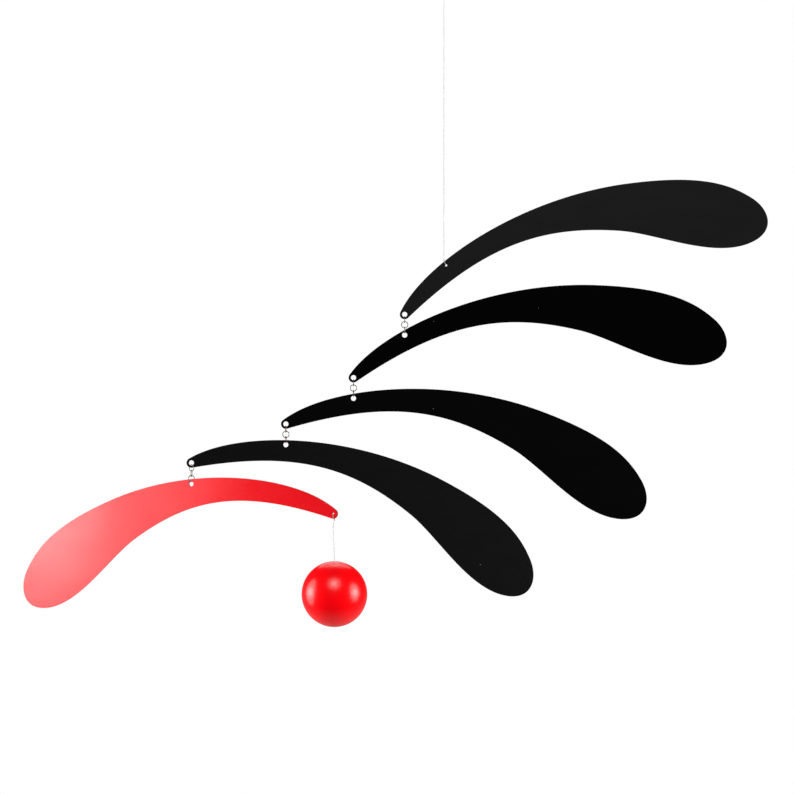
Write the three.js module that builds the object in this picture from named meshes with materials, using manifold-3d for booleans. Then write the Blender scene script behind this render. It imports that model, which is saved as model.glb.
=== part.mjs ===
// A hanging mobile: five flat leaf-shaped sheets, each hung by three jump rings from the narrow
// tip of the one above it, and a ball on a short thread at the lowest tip.
// Millimetres, +Z up, front towards -Y. The origin is the top of the hanging loop's eye, where
// a ceiling hook carries the whole mobile.

import * as THREE from 'three';
import * as BufferGeometryUtils from 'three/addons/utils/BufferGeometryUtils.js';
import Module from 'manifold-3d';

const wasm = await Module();
wasm.setup();

// Driving dimensions of the leaves
const leafReach = 327.5; // from the tip hole's centre to the far end of the leaf
const sheetThickness = 1;
const ringHoleRadius = 2.25;
const threadHoleRadius = 0.9;
const tipRim = 2; // sheet left round the tip's hole
const ringRim = 1.75; // sheet left between a ring hole and the upper edge
const threadRim = 2.9; // sheet left between the thread hole and the upper edge

// Driving dimensions of the rings, the threads and the ball
const ringRadius = 2.8; // to the middle of the wire
const wireRadius = 0.35;
const threadRadius = 0.25;
const knotRadius = 0.6;
const eyeLength = 14; // from the hanging loop's knot to the top of its eye
const eyeWidth = 7;
const threadLength = 230.5; // from the hanging loop to the knot on the top leaf
const ballRadius = 27.5;
const ballThreadLength = 33.5;
const ballThreadBow = 1.2; // how far the short thread springs aside under its knot
const gap = 0.3; // air left between pieces that touch

// Each leaf from the top: the place along the reach where the upper edge passes over its hang
// hole, the reach's tilt above level, and the leaf's turn on the link above it, anticlockwise
// seen from above, in degrees
const leaves = [
  { hang: 0.136, tilt: 15.1, turn: 0 },
  { hang: 0.142, tilt: 5.7, turn: 0.5 },
  { hang: 0.157, tilt: -12.5, turn: 7 },
  { hang: 0.221, tilt: -19.5, turn: 8 },
  { hang: 0.401, tilt: -13.5, turn: 135.8 },
];
const ringsPerLink = 3;
const hangKnotHeading = 114; // from the hole in the top leaf to its knot
const ballKnotHeading = -102; // from the hole in the lowest tip to its knot

// The short thread's route, as shares of its length down from the knot and of its bow aside
const ballThreadRoute = [
  { down: 0, aside: 0.3 },
  { down: 0.13, aside: 1 },
  { down: 0.4, aside: 0.8 },
  { down: 0.72, aside: 0.3 },
  { down: 1, aside: 0 },
];

// The outline's nodes in order after the tip's upper side: the crest, the round end's shoulder,
// its underside and the waist. Places and handles are shares of the reach.
const outlineNodes = [
  { x: 0.664, y: 0.182, heading: -7.6, handleIn: 0.291, handleOut: 0.192 },
  { x: 0.973, y: 0.0595, heading: -47.2, handleIn: 0.072, handleOut: 0.06 },
  { x: 0.938, y: -0.056, heading: -172.3, handleIn: 0.076, handleOut: 0.108 },
  { x: 0.612, y: 0.0654, heading: 161, handleIn: 0.1, handleOut: 0.203 },
];
const tipUpperAngle = 140; // where the arc round the tip meets the upper edge
const tipLowerAngle = 298.7;
const tipUpperHandle = 0.142;
const tipLowerHandle = 0.287;

// Smoothness of the facets
const outlineSegments = 16;
const edgeHalvings = 30;
const ringSteps = 20;
const wireSides = 6;
const threadSides = 8;
const threadSteps = 40;
const tieSteps = 18;
const knotSegments = 8;
const knotRings = 6;
const ballSegments = 28;

const blackSheet = new THREE.MeshStandardMaterial({ color: 0x161616, roughness: 0.5, metalness: 0 });
const redSheet = new THREE.MeshStandardMaterial({ color: 0xe01420, roughness: 0.45, metalness: 0 });
const redGloss = new THREE.MeshStandardMaterial({ color: 0xd80c12, roughness: 0.2, metalness: 0 });
const nickel = new THREE.MeshStandardMaterial({ color: 0xb4afa8, roughness: 0.3, metalness: 1 });
const nylon = new THREE.MeshStandardMaterial({ color: 0xe6e6e2, roughness: 0.4, metalness: 0 });

const tipRadius = ringHoleRadius + tipRim;
const ringHoleInset = ringHoleRadius + ringRim;
const threadHoleInset = threadHoleRadius + threadRim;

const radians = THREE.MathUtils.degToRad;

function step(point, heading, distance) {
  const x = point.x + distance * Math.cos(radians(heading));
  const y = point.y + distance * Math.sin(radians(heading));
  return new THREE.Vector2(x, y);
}

function addPiece(parent, name, geometry, material) {
  const mesh = new THREE.Mesh(geometry, material);
  mesh.name = name;
  parent.add(mesh);
  return mesh;
}

// The leaf's outline

// The curves from the tip's upper side round to its lower side, clockwise
function outlineCurves() {
  const centre = new THREE.Vector2(0, 0);
  const start = {
    point: step(centre, tipUpperAngle, tipRadius),
    heading: tipUpperAngle - 90,
    handleOut: tipUpperHandle,
  };
  const end = {
    point: step(centre, tipLowerAngle, tipRadius),
    heading: tipLowerAngle - 90,
    handleIn: tipLowerHandle,
  };
  const middle = outlineNodes.map((node) => ({
    ...node,
    point: new THREE.Vector2(node.x * leafReach, node.y * leafReach),
  }));
  const stops = [start, ...middle, end];
  return stops.slice(1).map((stop, index) => {
    const last = stops[index];
    const control1 = step(last.point, last.heading, last.handleOut * leafReach);
    const control2 = step(stop.point, stop.heading, -stop.handleIn * leafReach);
    return new THREE.CubicBezierCurve(last.point, control1, control2, stop.point);
  });
}

// The point on the upper edge above a place along the reach, and the heading there
function upperEdgeAt(place) {
  const edge = outlineCurves()[0];
  let low = 0;
  let high = 1;
  for (let halving = 0; halving < edgeHalvings; halving += 1) {
    const middle = (low + high) / 2;
    if (edge.getPoint(middle).x < place * leafReach) low = middle;
    else high = middle;
  }
  const tangent = edge.getTangent(low);
  return { point: edge.getPoint(low), heading: THREE.MathUtils.radToDeg(tangent.angle()) };
}

function leafGeometry(tipHoleRadius, hangHoleRadius, hangHole) {
  const shape = new THREE.Shape();
  for (const curve of outlineCurves()) shape.curves.push(curve);
  shape.curves.push(
    new THREE.EllipseCurve(
      0, 0, tipRadius, tipRadius, radians(tipLowerAngle), radians(tipUpperAngle), true,
    ),
  );
  shape.holes.push(new THREE.Path().absarc(0, 0, tipHoleRadius, 0, 2 * Math.PI));
  shape.holes.push(new THREE.Path().absarc(hangHole.x, hangHole.y, hangHoleRadius, 0, 2 * Math.PI));
  const geometry = new THREE.ExtrudeGeometry(shape, {
    depth: sheetThickness,
    bevelEnabled: false,
    curveSegments: outlineSegments,
  });
  geometry.translate(-hangHole.x, -hangHole.y, -sheetThickness / 2);
  geometry.rotateX(Math.PI / 2);
  return geometry;
}

// Rings, threads and knots

function ringGeometry() {
  const geometry = new THREE.TorusGeometry(ringRadius, wireRadius, wireSides, ringSteps);
  geometry.rotateX(Math.PI / 2);
  return geometry;
}

function threadGeometry(points, steps) {
  const section = new THREE.Shape();
  for (let side = 0; side < threadSides; side += 1) {
    const corner = step(new THREE.Vector2(0, 0), (360 * side) / threadSides, threadRadius);
    if (side === 0) section.moveTo(corner.x, corner.y);
    else section.lineTo(corner.x, corner.y);
  }
  section.closePath();
  const extrudePath = new THREE.CatmullRomCurve3(points);
  return new THREE.ExtrudeGeometry(section, { steps, bevelEnabled: false, extrudePath });
}

function toSolid(geometry) {
  const bare = geometry.clone();
  bare.deleteAttribute('normal');
  bare.deleteAttribute('uv');
  const merged = BufferGeometryUtils.mergeVertices(bare, 1e-4);
  const vertProperties = new Float32Array(merged.attributes.position.array);
  const triVerts = new Uint32Array(merged.index.array);
  return new wasm.Manifold(new wasm.Mesh({ numProp: 3, vertProperties, triVerts }));
}

function fuse(first, second) {
  const mesh = toSolid(first).add(toSolid(second)).getMesh();
  const geometry = new THREE.BufferGeometry();
  geometry.setAttribute('position', new THREE.BufferAttribute(mesh.vertProperties, 3));
  geometry.setIndex(new THREE.BufferAttribute(mesh.triVerts, 1));
  geometry.computeVertexNormals();
  return geometry;
}

function knotGeometry(centre) {
  const geometry = new THREE.SphereGeometry(knotRadius, knotSegments, knotRings);
  geometry.rotateX(Math.PI / 2);
  geometry.translate(centre.x, centre.y, centre.z);
  return geometry;
}

// A knot and the loop of thread that runs from it down one face of the sheet, through the hole
// at 0,0,0 and back up the other face
function tieGeometry(knot) {
  const aside = sheetThickness / 2 + gap + threadRadius;
  const nearHole = 0.2;
  const nearKnot = 0.72;
  const place = (share, y) => new THREE.Vector3(knot.x * share, y, knot.z * share);
  const points = [
    place(1, 0),
    place(nearKnot, -aside),
    place(nearHole, -aside),
    place(0, 0),
    place(nearHole, aside),
    place(nearKnot, aside),
    place(1, 0),
  ];
  return fuse(knotGeometry(knot), threadGeometry(points, tieSteps));
}

// The knotted eye at the very top, widest a third of the way down from its top
function eyeGeometry() {
  const knot = new THREE.Vector3(0, 0, -eyeLength);
  const half = eyeWidth / 2;
  const widest = -eyeLength / 3;
  const points = [
    knot,
    new THREE.Vector3(-half, 0, widest),
    new THREE.Vector3(0, 0, threadRadius),
    new THREE.Vector3(half, 0, widest),
    knot,
  ];
  return fuse(knotGeometry(knot), threadGeometry(points, tieSteps));
}

// The hanging thread, from its eye down to the knot on the top leaf

const mobile = new THREE.Group();

addPiece(mobile, 'hanging_loop', eyeGeometry(), nylon);

const threadTop = -eyeLength - knotRadius - gap;
const threadFoot = threadTop - threadLength;
const threadPoints = [new THREE.Vector3(0, 0, threadTop), new THREE.Vector3(0, 0, threadFoot)];
addPiece(mobile, 'hanging_thread', threadGeometry(threadPoints, threadSteps), nylon);

// Where the top leaf's hole lies from its knot: the knot sits just off the leaf's upper edge
const topEdge = upperEdgeAt(leaves[0].hang);
const edgeNormal = topEdge.heading + leaves[0].tilt + 90;
const knotLean = Math.cos(radians(edgeNormal - hangKnotHeading));
const knotReach = (threadHoleInset + knotRadius + gap) / knotLean;
const hangKnot = new THREE.Vector3(
  knotReach * Math.cos(radians(hangKnotHeading)),
  0,
  knotReach * Math.sin(radians(hangKnotHeading)),
);

// The leaves and their links, each in a group that turns on the link above, with the leaf's
// hang hole at the group's origin

const ringSeat = ringHoleRadius + ringRadius - wireRadius - gap; // a hole to its ring's centre
const ringStep = 2 * ringRadius - 2 * wireRadius - gap; // one ring's centre to the next
const linkDrop = 2 * ringSeat + (ringsPerLink - 1) * ringStep;

let parent = mobile;
const hangPoint = new THREE.Vector3(-hangKnot.x, 0, threadFoot - gap - knotRadius - hangKnot.z);

leaves.forEach((leaf, index) => {
  const isTop = index === 0;
  const isLowest = index === leaves.length - 1;
  const leafNumber = index + 1;

  const turned = new THREE.Group();
  turned.position.copy(hangPoint);
  turned.rotation.z = radians(leaf.turn);
  parent.add(turned);

  const edge = upperEdgeAt(leaf.hang);
  const inset = isTop ? threadHoleInset : ringHoleInset;
  const hangHole = step(edge.point, edge.heading - 90, inset);
  const tipHoleRadius = isLowest ? threadHoleRadius : ringHoleRadius;
  const hangHoleRadius = isTop ? threadHoleRadius : ringHoleRadius;
  const geometry = leafGeometry(tipHoleRadius, hangHoleRadius, hangHole);
  const sheet = addPiece(turned, `leaf_${leafNumber}`, geometry, isLowest ? redSheet : blackSheet);
  sheet.rotation.y = -radians(leaf.tilt);

  // The tip hole's centre, seen from the hang hole, once the leaf is tilted
  const tip = hangHole.clone().negate().rotateAround(new THREE.Vector2(0, 0), radians(leaf.tilt));

  if (isTop) addPiece(turned, 'leaf_tie', tieGeometry(hangKnot), nylon);
  if (isLowest) {
    hangBall(turned, tip);
    return;
  }

  // The rings of the link share the next leaf's turn evenly among their contacts
  const nextTurn = leaves[index + 1].turn;
  for (let ring = 1; ring <= ringsPerLink; ring += 1) {
    const name = `link_${leafNumber}_ring_${ring}`;
    const piece = addPiece(turned, name, ringGeometry(), nickel);
    piece.position.set(tip.x, 0, tip.y - ringSeat - (ring - 1) * ringStep);
    const square = ring % 2 === 1 ? 90 : 0;
    piece.rotation.z = radians(square + (nextTurn * ring) / (ringsPerLink + 1));
  }

  parent = turned;
  hangPoint.set(tip.x, 0, tip.y - linkDrop);
});

// The ball on its short thread, tied through the hole in the lowest leaf's tip

function hangBall(turned, tip) {
  const knotDrop = tipRadius + knotRadius + gap;
  const knot = new THREE.Vector3(
    knotDrop * Math.cos(radians(ballKnotHeading)),
    0,
    knotDrop * Math.sin(radians(ballKnotHeading)),
  );
  const tie = addPiece(turned, 'ball_tie', tieGeometry(knot), nylon);
  tie.position.set(tip.x, 0, tip.y);

  const x = tip.x + knot.x;
  const top = tip.y + knot.z - knotRadius - gap;
  const points = ballThreadRoute.map(
    ({ down, aside }) =>
      new THREE.Vector3(x + aside * ballThreadBow, 0, top - down * ballThreadLength),
  );
  addPiece(turned, 'ball_thread', threadGeometry(points, threadSteps), nylon);

  const ball = new THREE.SphereGeometry(ballRadius, ballSegments, ballSegments / 2);
  ball.rotateX(Math.PI / 2);
  const piece = addPiece(turned, 'ball', ball, redGloss);
  piece.position.set(x, 0, top - ballThreadLength - gap - ballRadius);
}

export default mobile;
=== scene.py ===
import math

import bmesh
import bpy
from mathutils import Matrix, Vector


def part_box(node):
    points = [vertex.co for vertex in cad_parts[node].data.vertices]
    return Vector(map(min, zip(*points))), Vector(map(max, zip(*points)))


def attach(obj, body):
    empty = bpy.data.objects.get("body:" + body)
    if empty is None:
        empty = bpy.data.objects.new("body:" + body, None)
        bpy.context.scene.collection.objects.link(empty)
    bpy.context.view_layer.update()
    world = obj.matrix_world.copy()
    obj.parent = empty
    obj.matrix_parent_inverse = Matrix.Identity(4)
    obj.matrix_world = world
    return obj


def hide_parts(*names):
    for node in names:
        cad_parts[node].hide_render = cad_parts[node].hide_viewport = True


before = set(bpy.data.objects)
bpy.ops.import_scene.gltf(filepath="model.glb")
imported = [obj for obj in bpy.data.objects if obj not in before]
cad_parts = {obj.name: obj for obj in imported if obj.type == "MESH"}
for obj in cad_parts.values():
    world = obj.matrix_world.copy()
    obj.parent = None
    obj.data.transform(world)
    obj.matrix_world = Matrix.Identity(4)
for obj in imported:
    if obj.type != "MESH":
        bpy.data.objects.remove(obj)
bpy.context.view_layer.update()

# The photograph's camera
# It stands level in front of the mobile. The photograph is a square of 794 pixels, the thread's
# upper end lies above its top edge, and the mobile's plane is this many pixels away.

PHOTO_SIZE = 794
THREAD_TOP_PIXEL = (443.9, -22)
PIXEL = 0.0008725
PIXELS_AWAY = 2780

camera_data = bpy.data.cameras.new("photo_camera")
camera_data.sensor_width = 36
camera_data.lens = camera_data.sensor_width * PIXELS_AWAY / PHOTO_SIZE
camera = bpy.data.objects.new("photo_camera", camera_data)
camera.location = (
    (PHOTO_SIZE / 2 - THREAD_TOP_PIXEL[0]) * PIXEL,
    -PIXELS_AWAY * PIXEL,
    (THREAD_TOP_PIXEL[1] - PHOTO_SIZE / 2) * PIXEL,
)
camera.rotation_euler = (math.radians(90), 0, 0)
bpy.context.collection.objects.link(camera)
bpy.context.scene.camera = camera
bpy.context.scene.view_settings.view_transform = "Standard"


# The threads
# Clear nylon line: a long one from the ceiling down to the top leaf, and a short one from the
# lowest tip down to the ball. Each end is knotted round what it holds.

THREAD_THICKNESS = 0.0005
SHORT_THREAD_LENGTH = 0.0335
KNOT_RADIUS = 0.0006
GAP = 0.0003
THREAD_POINTS = 24


class Value:
    """A number, colour or vector in a node tree, for use in plain expressions."""

    def __init__(self, nodes, socket):
        self.nodes = nodes
        self.socket = socket

    def math(self, operation, *values):
        sockets = dict(enumerate(values))
        return self.nodes.node("ShaderNodeMath", {"operation": operation}, sockets)

    def __add__(self, other):
        return self.math("ADD", self, other)

    def __mul__(self, other):
        return self.math("MULTIPLY", self, other)

    def __lt__(self, other):
        return self.math("LESS_THAN", self, other)

    def __gt__(self, other):
        return self.math("GREATER_THAN", self, other)

    __radd__ = __add__
    __rmul__ = __mul__


class Nodes:
    """A node tree, whose nodes are made with their settings and the values of their sockets."""

    def __init__(self, tree):
        self.tree = tree

    def join(self, value, socket):
        if isinstance(value, Value):
            self.tree.links.new(value.socket, socket)
        else:
            socket.default_value = value

    def node(self, kind, settings=None, sockets=None, output=0):
        made = self.tree.nodes.new(kind)
        for name, value in (settings or {}).items():
            setattr(made, name, value)
        for name, value in (sockets or {}).items():
            self.join(value, made.inputs[name])
        return Value(self, made.outputs[output])


class Finish(Nodes):
    """A material: a Principled shader with plain values, and the nodes that vary it."""

    def __init__(self, name, **plain):
        self.material = bpy.data.materials.new(name)
        self.material.use_nodes = True
        super().__init__(self.material.node_tree)
        self.shader = self.tree.nodes["Principled BSDF"]
        for socket, value in plain.items():
            self.shader.inputs[socket.replace("_", " ")].default_value = value
        self.place = self.node("ShaderNodeTexCoord", output="Object")

    def noise(self, scale, detail=2.0, stretch=(1, 1, 1)):
        """Soft noise from 0 to 1, with this many patches to a metre."""
        place = self.node("ShaderNodeMapping", {}, {"Vector": self.place, "Scale": stretch})
        sockets = {"Vector": place, "Scale": scale, "Detail": detail}
        return self.node("ShaderNodeTexNoise", {}, sockets)

    def mix(self, share, first, second):
        """The second colour over the first, by a share from 0 to 1."""
        mix_share, mix_first, mix_second, mix_result = 0, 6, 7, 2
        sockets = {mix_share: share, mix_first: first, mix_second: second}
        return self.node("ShaderNodeMix", {"data_type": "RGBA"}, sockets, mix_result)

    def vary(self, socket, value):
        self.join(value, self.shader.inputs[socket])

    def bump(self, height, distance):
        self.vary("Normal", self.node("ShaderNodeBump", {}, {"Height": height, "Distance": distance}))


def nylon_finish():
    finish = Finish("clear_nylon", IOR=1.53, Transmission_Weight=0.6)
    cloudy = finish.noise(260, 3)
    finish.vary("Base Color", finish.mix(cloudy, (0.45, 0.45, 0.43, 1), (0.6, 0.59, 0.56, 1)))
    finish.vary("Roughness", cloudy * 0.1 + 0.12)
    finish.bump(finish.noise(3000), 0.00002)
    return finish.material


nylon = nylon_finish()


def finish_piece(piece, name, body, material):
    piece.name = name
    piece.data.materials.clear()
    piece.data.materials.append(material)
    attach(piece, body)


def smooth_route(stops, count):
    """Points along a smooth line through the stops, even in number between each pair."""
    ends = [2 * stops[0] - stops[1], *stops, 2 * stops[-1] - stops[-2]]
    spans = len(stops) - 1
    route = []
    for index in range(count):
        place = index * spans / (count - 1)
        span = min(int(place), spans - 1)
        share = place - span
        before, first, second, after = ends[span:span + 4]
        route.append(
            0.5 * (
                2 * first
                + (second - before) * share
                + (2 * before - 5 * first + 4 * second - after) * share ** 2
                + (3 * first - before - 3 * second + after) * share ** 3
            )
        )
    return route


def thread_curve(lines, closed=()):
    """A curve as thick as the thread, with one stretch for each line of points."""
    data = bpy.data.curves.new("thread", "CURVE")
    data.dimensions = "3D"
    data.bevel_depth = THREAD_THICKNESS / 2
    data.bevel_resolution = 3
    data.use_fill_caps = True
    for number, line in enumerate(lines):
        spline = data.splines.new("POLY")
        spline.points.add(len(line) - 1)
        for point, place in zip(spline.points, line):
            point.co = (*place, 1)
        spline.use_cyclic_u = number in closed
        spline.use_smooth = True
    piece = bpy.data.objects.new("thread", data)
    bpy.context.collection.objects.link(piece)
    return piece


def knot_line(centre, steps=48, reach=0.00036):
    """An overhand knot pulled tight: a trefoil line round its centre."""
    line = []
    for step in range(steps):
        turn = 2 * math.pi * step / steps
        across = math.sin(turn) + 2 * math.sin(2 * turn)
        up = math.cos(turn) - 2 * math.cos(2 * turn)
        line.append(centre + reach / 3 * Vector((across, -math.sin(3 * turn), up)))
    return line


thread_low, thread_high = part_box("hanging_thread")
top_knot = Vector((0, 0, thread_low.z - GAP - KNOT_RADIUS))
eye_knot = Vector((0, 0, thread_high.z + GAP + KNOT_RADIUS))

thread_route = [
    Vector((0, 0, thread_low.z + (thread_high.z - thread_low.z) * step / (THREAD_POINTS - 1)))
    for step in range(THREAD_POINTS)
]
thread_route[0].z -= 2 * GAP
thread_route[-1].z += 2 * GAP
hung_thread = thread_curve([thread_route])
finish_piece(hung_thread, "hung_thread", "thread", nylon)
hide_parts("hanging_thread")

# The ball thread's route from its knot down, as shares of its length and of its bow aside, as
# nylon keeps a little of its coil
BOW = 0.0012
SHORT_ROUTE = ((0, 0.3), (0.13, 1), (0.4, 0.8), (0.72, 0.3), (1, 0))
RED_LEAF_YAW = 151.3
red_turn = math.radians(RED_LEAF_YAW)
red_way = Vector((math.cos(red_turn), math.sin(red_turn), 0))
ball_low, ball_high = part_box("ball")
ball_centre = (ball_low + ball_high) / 2
_, short_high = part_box("ball_thread")
short_stops = [
    Vector((ball_centre.x, ball_centre.y, short_high.z - down * SHORT_THREAD_LENGTH))
    + red_way * BOW * aside
    for down, aside in SHORT_ROUTE
]
short_route = smooth_route(short_stops, THREAD_POINTS)
short_route[0].z += 2 * GAP
short_route[-1].z -= 3 * GAP
short_thread = thread_curve([short_route])
finish_piece(short_thread, "short_thread", "red_leaf", nylon)
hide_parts("ball_thread")

# The eye that the ceiling hook passes through
EYE_LENGTH = 0.014
EYE_HALF_WIDTH = 0.0035
EYE_POINTS = 60
eye_stops = [
    eye_knot,
    Vector((-EYE_HALF_WIDTH, 0, -EYE_LENGTH / 3)),
    Vector((0, 0, THREAD_THICKNESS / 2)),
    Vector((EYE_HALF_WIDTH, 0, -EYE_LENGTH / 3)),
    eye_knot,
]
eye = thread_curve([smooth_route(eye_stops, EYE_POINTS), knot_line(eye_knot)], closed=(1,))
finish_piece(eye, "eye", "thread", nylon)
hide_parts("hanging_loop")


# The leaves
# Five flat leaves of 1 mm plastic sheet, all cut to one outline with a narrow tip and a broad
# round end. Each has a hole in its tip and another along its upper edge where it balances; the
# top leaf's upper hole and the red leaf's tip hole are small, for the thread.

LEAF_REACH = 0.3275
SHEET_THICKNESS = 0.001
EDGE_ROUNDING = 0.0001
RING_HOLE_RADIUS = 0.00225
THREAD_HOLE_RADIUS = 0.0009
TIP_RIM = 0.002
RING_RIM = 0.00175
THREAD_RIM = 0.0029
TIP_RADIUS = RING_HOLE_RADIUS + TIP_RIM
RING_RADIUS = 0.0028
WIRE_RADIUS = 0.00035
RING_SEAT = RING_HOLE_RADIUS + RING_RADIUS - WIRE_RADIUS - GAP

# The outline's nodes after the tip's upper side: place, heading, and the handles in and out
TIP_UPPER = 140
TIP_LOWER = 298.7
OUTLINE = (
    (None, TIP_UPPER - 90, None, 0.142),
    ((0.664, 0.182), -7.6, 0.291, 0.192),
    ((0.973, 0.0595), -47.2, 0.072, 0.06),
    ((0.938, -0.056), -172.3, 0.076, 0.108),
    ((0.612, 0.0654), 161, 0.1, 0.203),
    (None, TIP_LOWER - 90, 0.287, None),
)


def heading_vector(degrees, length=1.0):
    turn = math.radians(degrees)
    return Vector((math.cos(turn), math.sin(turn))) * length


def outline_stretches():
    """The outline's curves, each as its two ends and two handles, clockwise from the tip."""
    tip_ends = {0: heading_vector(TIP_UPPER), len(OUTLINE) - 1: heading_vector(TIP_LOWER)}
    nodes = []
    for index, (place, heading, handle_in, handle_out) in enumerate(OUTLINE):
        point = tip_ends[index] * TIP_RADIUS if place is None else Vector(place) * LEAF_REACH
        back = point - heading_vector(heading, (handle_in or 0) * LEAF_REACH)
        ahead = point + heading_vector(heading, (handle_out or 0) * LEAF_REACH)
        nodes.append((point, back, ahead))
    return [
        (first[0], first[2], second[1], second[0]) for first, second in zip(nodes, nodes[1:])
    ]


def along(stretch, share):
    """A point on a curve, and the way the curve runs there."""
    first, ahead, back, second = stretch
    rest = 1 - share
    point = (
        first * rest ** 3 + ahead * 3 * rest ** 2 * share
        + back * 3 * rest * share ** 2 + second * share ** 3
    )
    way = (
        (ahead - first) * rest ** 2 + (back - ahead) * 2 * rest * share
        + (second - back) * share ** 2
    )
    return point, way.normalized()


def hole_under_edge(place, inset, halvings=40):
    """The hole whose edge point above it is this share along the reach, found by halving."""
    upper_edge = outline_stretches()[0]
    low, high = 0.0, 1.0
    for _ in range(halvings):
        middle = (low + high) / 2
        if along(upper_edge, middle)[0].x < place * LEAF_REACH:
            low = middle
        else:
            high = middle
    point, way = along(upper_edge, low)
    return point + Vector((way.y, -way.x)) * inset


def circle(centre, radius, steps, start=0.0, sweep=360.0):
    return [
        centre + heading_vector(start + sweep * step / steps, radius) for step in range(steps)
    ]


def leaf_outline(stretch_steps=72, tip_steps=40):
    points = []
    for stretch in outline_stretches():
        points += [along(stretch, step / stretch_steps)[0] for step in range(stretch_steps)]
    tip_sweep = TIP_UPPER - TIP_LOWER
    return points + circle(Vector((0, 0)), TIP_RADIUS, tip_steps, TIP_LOWER, tip_sweep)


def leaf_mesh(tip_hole_radius, hang_hole, hang_hole_radius):
    """The sheet, flat on XY with the tip hole at 0,0: cut edges a little rounded, both faces flat."""
    data = bpy.data.curves.new("leaf", "CURVE")
    data.dimensions = "2D"
    data.fill_mode = "BOTH"
    data.extrude = SHEET_THICKNESS / 2 - EDGE_ROUNDING
    data.bevel_depth = EDGE_ROUNDING
    data.bevel_resolution = 2
    data.offset = -EDGE_ROUNDING
    hole_steps = 64
    lines = (
        leaf_outline(),
        circle(Vector((0, 0)), tip_hole_radius, hole_steps),
        circle(hang_hole, hang_hole_radius, hole_steps),
    )
    for line in lines:
        spline = data.splines.new("POLY")
        spline.points.add(len(line) - 1)
        for point, place in zip(spline.points, line):
            point.co = (*place, 0, 1)
        spline.use_cyclic_u = True
    sheet = bpy.data.objects.new("leaf", data)
    bpy.context.collection.objects.link(sheet)
    shape = sheet.evaluated_get(bpy.context.evaluated_depsgraph_get())
    mesh = bpy.data.meshes.new_from_object(shape)
    bpy.data.objects.remove(sheet)

    work = bmesh.new()
    work.from_mesh(mesh)
    bmesh.ops.remove_doubles(work, verts=work.verts, dist=0.000001)
    bmesh.ops.recalc_face_normals(work, faces=work.faces)
    work.to_mesh(mesh)
    work.free()
    mesh.shade_smooth()
    cut = mesh.attributes.new("cut_edge", "FLOAT", "FACE")
    cut.data.foreach_set("value", [float(abs(face.normal.z) < 0.5) for face in mesh.polygons])
    return mesh


DUST = (0.42, 0.41, 0.39, 1)


def sheet_finish(name, face, face_dusty_and_painted_light, cut, roughness, gloss):
    """Satin plastic: a fine grain, faint waves, hairline scratches and a few specks of dust."""
    finish = Finish(name, IOR=1.49, Specular_IOR_Level=gloss)
    waves = finish.noise(9, 2)
    smears = finish.noise(26, 3, (1, 1, 3))
    grain = finish.noise(2600, 2)
    hairlines = finish.noise(1500, 1, (0.02, 1, 1))

    cells = {"Vector": finish.place, "Scale": 120}
    nearness = finish.node("ShaderNodeTexVoronoi", {}, cells, "Distance")
    chance = finish.node("ShaderNodeTexVoronoi", {}, cells, "Color")
    red = finish.node("ShaderNodeSeparateColor", {}, {"Color": chance}, "Red")
    specks = (nearness < 0.03) * (red > 0.8)

    edge = finish.node("ShaderNodeAttribute", {"attribute_name": "cut_edge"}, {}, "Fac")
    # Dusty smears over the face; on the black sheets both colours also carry a painted sheen and shade,
    # set leaf by leaf
    colour = finish.mix(smears * 0.35, face, face_dusty_and_painted_light)
    colour = finish.mix(specks, colour, DUST)
    # The cut edges take the cut colour; on the red sheet that colour is a painted shade
    finish.vary("Base Color", finish.mix(edge, colour, cut))
    # The three add 0.08 on average, so the sheet's own roughness is their middle
    finish.vary("Roughness", smears * 0.06 + waves * 0.04 + hairlines * 0.06 + (roughness - 0.08))
    finish.bump(grain * 0.06 + waves * 6, 0.00008)
    return finish.material


BLACK_CUT = (0.004, 0.004, 0.004, 1)
# The red sheet's cut edge is painted far darker than the red plastic itself: a painted shade
RED_CUT_PAINTED_SHADE = (0.02, 0.001, 0.001, 1)

# Each sheet from the top: its colour, its colour under dusty smears, its cut edge's colour, its
# roughness and its gloss. The four black sheets are one plastic, yet their colours are set greyer or
# darker leaf by leaf as painted sheen and shade, greyest on the top leaf and darkest on the second;
# the red sheet's cut edge colour is a painted shade.
SHEETS = (
    ("black_sheet_1", (0.003, 0.003, 0.003, 1), (0.009, 0.0085, 0.0085, 1), BLACK_CUT, 0.42, 0.1),
    ("black_sheet_2", (0.0003, 0.0003, 0.0003, 1), (0.0009, 0.0009, 0.0009, 1), BLACK_CUT, 0.45, 0.015),
    ("black_sheet_3", (0.0005, 0.0005, 0.0005, 1), (0.0018, 0.0015, 0.0015, 1), BLACK_CUT, 0.45, 0.03),
    ("black_sheet_4", (0.0014, 0.0014, 0.0014, 1), (0.0036, 0.0036, 0.004, 1), BLACK_CUT, 0.45, 0.08),
    ("red_sheet", (0.52, 0.002, 0.005, 1), (0.58, 0.004, 0.008, 1), RED_CUT_PAINTED_SHADE, 0.18, 0.5),
)

# Each leaf from the top: the body it belongs to, the place of its upper hole along the reach,
# its tilt above level and its turn about the vertical, in degrees
LEAVES = (
    ("top_leaf", 0.136, 15.1, 0),
    ("second_leaf", 0.142, 5.7, 0.5),
    ("third_leaf", 0.157, -12.5, 7.5),
    ("fourth_leaf", 0.221, -19.5, 15.5),
    ("red_leaf", 0.401, -13.5, RED_LEAF_YAW),
)
LEAF_YAWS = [yaw for _, _, _, yaw in LEAVES]
RINGS_PER_LINK = 3


def ring_centre(link, ring):
    low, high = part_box(f"link_{link}_ring_{ring}")
    return (low + high) / 2


def leaf_stand(outline_point, place, tilt, yaw):
    """Stands a flat leaf up, tilts and turns it, and puts one of its points at a place."""
    lift = Matrix.Rotation(math.radians(90), 4, "X")
    lean = Matrix.Rotation(-math.radians(tilt), 4, "Y")
    turn = Matrix.Rotation(math.radians(yaw), 4, "Z")
    stand = turn @ lean @ lift
    return Matrix.Translation(place - stand @ outline_point.to_3d()) @ stand


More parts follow.
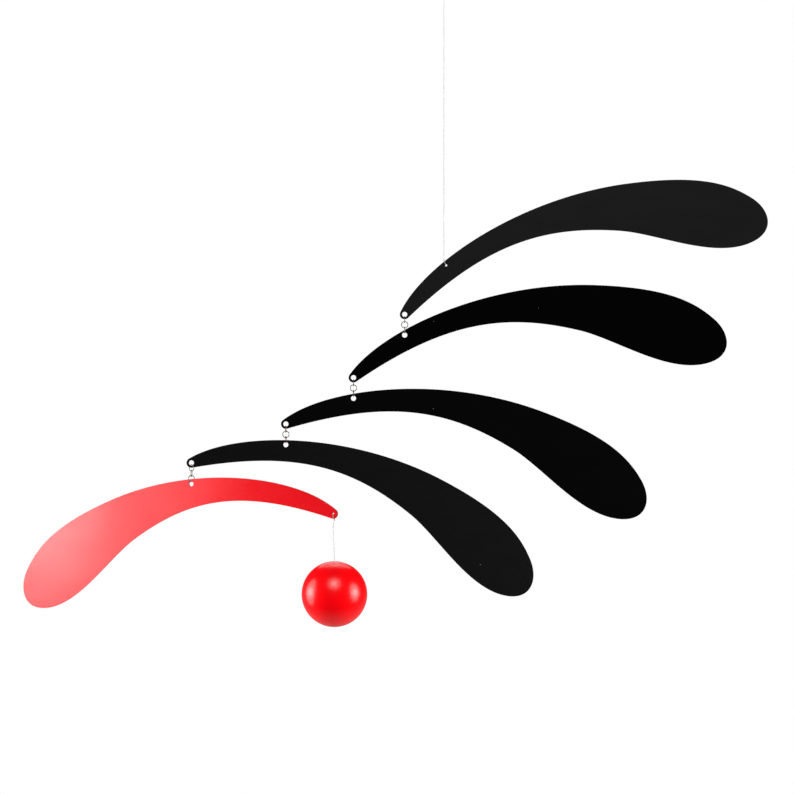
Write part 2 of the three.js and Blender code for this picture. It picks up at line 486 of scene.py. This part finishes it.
leaf_stands = []
for index, (body, hang, tilt, yaw) in enumerate(LEAVES):
    number = index + 1
    is_top = index == 0
    is_lowest = number == len(LEAVES)
    tip_hole_radius = THREAD_HOLE_RADIUS if is_lowest else RING_HOLE_RADIUS
    hang_hole_radius = THREAD_HOLE_RADIUS if is_top else RING_HOLE_RADIUS
    rim = THREAD_RIM if is_top else RING_RIM
    hang_hole = hole_under_edge(hang, hang_hole_radius + rim)
    mesh = leaf_mesh(tip_hole_radius, hang_hole, hang_hole_radius)
    seat = Vector((0, 0, RING_SEAT))
    if is_lowest:
        stand = leaf_stand(hang_hole, ring_centre(index, RINGS_PER_LINK) - seat, tilt, yaw)
    else:
        stand = leaf_stand(Vector((0, 0)), ring_centre(number, 1) + seat, tilt, yaw)
    mesh.transform(stand)
    leaf_stands.append((stand, hang_hole))

    leaf = bpy.data.objects.new("leaf", mesh)
    bpy.context.collection.objects.link(leaf)
    flat_faces = leaf.modifiers.new("flat faces", "WEIGHTED_NORMAL")
    flat_faces.weight = 100
    finish_piece(leaf, f"leaf_sheet_{number}", body, sheet_finish(*SHEETS[index]))
    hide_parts(f"leaf_{number}")


# The ties
# The nylon goes once through the leaf's small hole, down one face and up the other, and is
# knotted just off the edge.

# The thread lies on the sheet between these shares of the way from the hole to the knot
TIE_START = 0.2
TIE_END = 0.72
TIE_POINTS = 72


def tie_curve(knot, hole, face_way):
    aside = face_way * (SHEET_THICKNESS / 2 + THREAD_THICKNESS / 2)
    start = hole.lerp(knot, TIE_START)
    end = hole.lerp(knot, TIE_END)
    stops = [knot, end - aside, start - aside, hole, start + aside, end + aside, knot]
    return thread_curve([smooth_route(stops, TIE_POINTS), knot_line(knot)], closed=(1,))


top_stand, top_hole = leaf_stands[0]
top_tie = tie_curve(top_knot, top_stand @ top_hole.to_3d(), Vector((0, 1, 0)))
finish_piece(top_tie, "top_tie", "top_leaf", nylon)
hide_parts("leaf_tie")

BALL_KNOT_HEADING = math.radians(-102)
tip_hole = leaf_stands[-1][0].translation
knot_reach = TIP_RADIUS + KNOT_RADIUS + GAP
ball_knot = (
    tip_hole
    + red_way * knot_reach * math.cos(BALL_KNOT_HEADING)
    + Vector((0, 0, knot_reach * math.sin(BALL_KNOT_HEADING)))
)
ball_tie = tie_curve(ball_knot, tip_hole, Vector((-red_way.y, red_way.x, 0)))
finish_piece(ball_tie, "tip_tie", "red_leaf", nylon)
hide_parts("ball_tie")


# The jump rings
# Nickel-plated wire bent into split rings, three to a link, from the upper leaf's tip to the hole
# of the leaf below. Each stands across the next, and a link's rings share the turn between its
# two leaves.

RING_SPLIT = math.radians(3.5)
RING_STEPS = 72
WIRE_SIDES = 16


def ring_tree():
    tree = bpy.data.node_groups.new("jump_rings", "GeometryNodeTree")
    tree.interface.new_socket("Geometry", in_out="INPUT", socket_type="NodeSocketGeometry")
    for name in ("Ring Radius", "Wire Radius", "Split"):
        tree.interface.new_socket(name, in_out="INPUT", socket_type="NodeSocketFloat")
    tree.interface.new_socket("Geometry", in_out="OUTPUT", socket_type="NodeSocketGeometry")

    def add(kind, **settings):
        node = tree.nodes.new(kind)
        for name, value in settings.items():
            setattr(node, name, value)
        return node

    def link(source, output, target, socket):
        tree.links.new(source.outputs[output], target.inputs[socket])

    given = add("NodeGroupInput")
    arc = add("GeometryNodeCurveArc")
    arc.inputs["Resolution"].default_value = RING_STEPS
    link(given, "Ring Radius", arc, "Radius")
    half = add("ShaderNodeMath", operation="DIVIDE")
    half.inputs[1].default_value = 2
    link(given, "Split", half, 0)
    link(half, 0, arc, "Start Angle")
    sweep = add("ShaderNodeMath", operation="SUBTRACT")
    sweep.inputs[0].default_value = 2 * math.pi
    link(given, "Split", sweep, 1)
    link(sweep, 0, arc, "Sweep Angle")
    wire = add("GeometryNodeCurvePrimitiveCircle")
    wire.inputs["Resolution"].default_value = WIRE_SIDES
    link(given, "Wire Radius", wire, "Radius")
    bent = add("GeometryNodeCurveToMesh")
    bent.inputs["Fill Caps"].default_value = True
    link(arc, "Curve", bent, "Curve")
    link(wire, "Curve", bent, "Profile Curve")
    turned = add("GeometryNodeInputNamedAttribute", data_type="FLOAT_VECTOR")
    turned.inputs["Name"].default_value = "turned"
    placed = add("GeometryNodeInstanceOnPoints")
    link(given, "Geometry", placed, "Points")
    link(bent, "Mesh", placed, "Instance")
    link(turned, "Attribute", placed, "Rotation")
    real = add("GeometryNodeRealizeInstances")
    link(placed, "Instances", real, "Geometry")
    link(real, "Geometry", add("NodeGroupOutput"), "Geometry")
    return tree


def nickel_finish():
    """Bright nickel plate with a faint grain, darker and brighter in patches."""
    finish = Finish("nickel_plate", Metallic=1.0)
    worn = finish.noise(700, 3)
    finish.vary("Base Color", finish.mix(worn, (0.26, 0.235, 0.21, 1), (0.56, 0.52, 0.47, 1)))
    finish.vary("Roughness", worn * 0.14 + 0.14)
    finish.bump(finish.noise(5200, 2), 0.000003)
    return finish.material


nickel = nickel_finish()
ring_nodes = ring_tree()
ring_inputs = {"Ring Radius": RING_RADIUS, "Wire Radius": WIRE_RADIUS, "Split": RING_SPLIT}


def rings_on(body, name, rings):
    """One mesh of the rings that turn with a body: each is its link and its number there."""
    points = bpy.data.meshes.new("rings")
    points.from_pydata([ring_centre(link, ring) for link, ring in rings], [], [])
    turned = points.attributes.new("turned", "FLOAT_VECTOR", "POINT")
    for entry, (link, ring) in zip(turned.data, rings):
        upper_yaw, lower_yaw = LEAF_YAWS[link - 1:link + 1]
        share = ring / (RINGS_PER_LINK + 1)
        square = 90 if ring % 2 else 0
        yaw = upper_yaw + (lower_yaw - upper_yaw) * share + square
        entry.vector = (math.radians(90), 0, math.radians(yaw))
    maker = bpy.data.objects.new("rings", points)
    bpy.context.collection.objects.link(maker)
    modifier = maker.modifiers.new("rings", "NODES")
    modifier.node_group = ring_nodes
    for item in ring_nodes.interface.items_tree:
        if item.name in ring_inputs:
            modifier[item.identifier] = ring_inputs[item.name]
    shape = maker.evaluated_get(bpy.context.evaluated_depsgraph_get())
    mesh = bpy.data.meshes.new_from_object(shape)
    mesh.shade_smooth()
    bpy.data.objects.remove(maker)
    piece = bpy.data.objects.new("rings", mesh)
    bpy.context.collection.objects.link(piece)
    finish_piece(piece, name, body, nickel)
    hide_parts(*[f"link_{link}_ring_{ring}" for link, ring in rings])


for index, (body, _, _, _) in enumerate(LEAVES):
    rings = []
    if index > 0:
        rings.append((index, RINGS_PER_LINK))
    if index < len(LEAVES) - 1:
        rings += [(index + 1, ring) for ring in range(1, RINGS_PER_LINK)]
    rings_on(body, f"rings_{body}", rings)


# The ball
# A hollow plastic ball, sprayed glossy red, with a small hole at the top where the thread goes
# in and is knotted inside.

BALL_RADIUS = (ball_high.z - ball_low.z) / 2
BALL_HOLE_RADIUS = 0.0006
BALL_HOLE_DEPTH = 0.002
BALL_LIP = 0.0004


def ball_profile(arc_steps=72, lip_steps=5):
    """Radius and height from the foot of the hole, over its lip and round to the bottom."""
    lip_radius = BALL_HOLE_RADIUS + BALL_LIP
    lip_height = math.sqrt((BALL_RADIUS - BALL_LIP) ** 2 - lip_radius ** 2)
    lean = math.atan2(lip_radius, lip_height)
    profile = [(BALL_HOLE_RADIUS, BALL_RADIUS - BALL_HOLE_DEPTH)]
    for step in range(lip_steps):
        turn = math.pi - (math.pi / 2 + lean) * step / lip_steps
        profile.append(
            (lip_radius + BALL_LIP * math.cos(turn), lip_height + BALL_LIP * math.sin(turn))
        )
    for step in range(arc_steps):
        turn = lean + (math.pi - lean) * step / arc_steps
        profile.append((BALL_RADIUS * math.sin(turn), BALL_RADIUS * math.cos(turn)))
    return profile


def ball_mesh(sides=112):
    profile = ball_profile()
    work = bmesh.new()
    rows = []
    for radius, height in profile:
        rows.append([
            work.verts.new(ball_centre + Vector((
                radius * math.cos(2 * math.pi * side / sides),
                radius * math.sin(2 * math.pi * side / sides),
                height,
            )))
            for side in range(sides)
        ])
    foot = work.verts.new(ball_centre + Vector((0, 0, profile[0][1])))
    bottom = work.verts.new(ball_centre - Vector((0, 0, BALL_RADIUS)))
    for side in range(sides):
        after = (side + 1) % sides
        work.faces.new((foot, rows[0][side], rows[0][after]))
        work.faces.new((bottom, rows[-1][after], rows[-1][side]))
        for upper, lower in zip(rows, rows[1:]):
            work.faces.new((upper[side], lower[side], lower[after], upper[after]))
    bmesh.ops.recalc_face_normals(work, faces=work.faces)
    mesh = bpy.data.meshes.new("ball")
    work.to_mesh(mesh)
    work.free()
    mesh.shade_smooth()
    return mesh


def ball_finish():
    """Sprayed gloss red with a slight orange peel."""
    finish = Finish("ball_red", IOR=1.65)
    clouds = finish.noise(38, 3)
    finish.vary("Base Color", finish.mix(clouds, (0.77, 0.0, 0.002, 1), (0.83, 0.0, 0.003, 1)))
    finish.vary("Roughness", clouds * 0.04 + 0.2)
    finish.bump(finish.noise(420, 2), 0.00003)
    return finish.material


ball = bpy.data.objects.new("ball_piece", ball_mesh())
bpy.context.collection.objects.link(ball)
finish_piece(ball, "red_ball", "red_leaf", ball_finish())
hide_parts("ball")


# The floor and the light
# A pale floor well below the mobile, soft lights at both sides, overhead and above the camera,
# and a white backdrop in a room that is dark to every glossy surface.

FLOOR_HEIGHT = -2.2
FLOOR_RADIUS = 8
FLOOR_SIDES = 96


def floor_finish():
    """Matt white with faint clouds, and a glow of its own that keeps it pale in the dark room."""
    finish = Finish(
        "pale_floor", Roughness=0.9, Emission_Color=(1, 1, 1, 1), Emission_Strength=0.45,
    )
    clouds = finish.noise(6, 2)
    finish.vary("Base Color", finish.mix(clouds, (0.86, 0.86, 0.86, 1), (0.9, 0.9, 0.9, 1)))
    return finish.material


work = bmesh.new()
bmesh.ops.create_circle(work, cap_ends=True, segments=FLOOR_SIDES, radius=FLOOR_RADIUS)
floor_mesh = bpy.data.meshes.new("floor")
work.to_mesh(floor_mesh)
work.free()
floor_mesh.transform(Matrix.Translation((0, 0, FLOOR_HEIGHT)))
floor = bpy.data.objects.new("floor", floor_mesh)
bpy.context.collection.objects.link(floor)
floor_mesh.materials.append(floor_finish())
floor.visible_glossy = False
floor.visible_diffuse = False
floor.visible_shadow = False

# A soft light is four lamps in one place, so that it is brightest at its middle: each lamp's
# share of the size and of the power
LAMPS = ((1.15, 0.25), (0.8, 0.24), (0.5, 0.24), (0.28, 0.27))
LIGHTS_AIM = Vector((-0.1, -0.1, -0.53))


def soft_light(name, centre, width, height, power):
    way = LIGHTS_AIM - Vector(centre)
    for number, (size_share, power_share) in enumerate(LAMPS):
        data = bpy.data.lights.new(f"{name}_{number}", "AREA")
        data.shape = "ELLIPSE"
        data.size = width * size_share
        data.size_y = height * size_share
        data.energy = power * power_share
        lamp = bpy.data.objects.new(f"{name}_{number}", data)
        lamp.location = centre
        lamp.rotation_euler = way.to_track_quat("-Z", "Y").to_euler()
        lamp.visible_camera = False
        bpy.context.collection.objects.link(lamp)


soft_light("left_light", (-0.64, -0.075, -0.485), 0.36, 0.56, 5.0)
soft_light("right_light", (1.17, -0.37, -0.4), 0.8, 1.05, 20.5)
soft_light("overhead_light", (-0.1, 0.85, 0.35), 0.9, 0.95, 13)
soft_light("front_light", (-0.09, -1.5, 0.66), 1.25, 1.25, 23)

# An even light that glossy surfaces don't mirror, from above at four sides and from below in
# front and behind: the way each lamp shines, and its power
FILLS = (
    ((1, 1, -0.6), 0.35),
    ((-1, 1, -0.6), 0.35),
    ((1, -1, -0.6), 0.7),
    ((-1, -1, -0.6), 0.7),
    ((0, 1, 0.8), 1.5),
    ((0, -1, 0.8), 3.0),
)
FILL_SOFTNESS = math.radians(80)

for number, (way, power) in enumerate(FILLS):
    data = bpy.data.lights.new(f"fill_{number}", "SUN")
    data.energy = power
    data.angle = FILL_SOFTNESS
    data.cycles.use_multiple_importance_sampling = False
    lamp = bpy.data.objects.new(f"fill_{number}", data)
    lamp.rotation_euler = Vector(way).to_track_quat("-Z", "Y").to_euler()
    lamp.visible_glossy = False
    bpy.context.collection.objects.link(lamp)

# What the room shows: white to the camera and through clear nylon, and to everything else a
# dark room with a glow low behind the mobile
DARK = 0.02
GLOW = 0.3
GLOW_WAY = (0, 0.6, -0.8)

world = bpy.data.worlds.new("white_room")
bpy.context.scene.world = world
world.use_nodes = True
room = Nodes(world.node_tree)
way = room.node("ShaderNodeTexCoord", output="Generated")
low_behind = room.node(
    "ShaderNodeVectorMath", {"operation": "DOT_PRODUCT"}, {0: way, 1: GLOW_WAY}, "Value",
)
glow = room.node(
    "ShaderNodeMapRange",
    {"interpolation_type": "SMOOTHSTEP"},
    {"Value": low_behind, "From Min": 0.2, "From Max": 1.0, "To Min": DARK, "To Max": GLOW},
)
seen = room.node("ShaderNodeLightPath", output="Is Camera Ray")
through = room.node("ShaderNodeLightPath", output="Is Transmission Ray")
backdrop = world.node_tree.nodes["Background"]
backdrop.inputs["Color"].default_value = (1, 1, 1, 1)
room.join(seen.math("MAXIMUM", seen + through, glow), backdrop.inputs["Strength"])
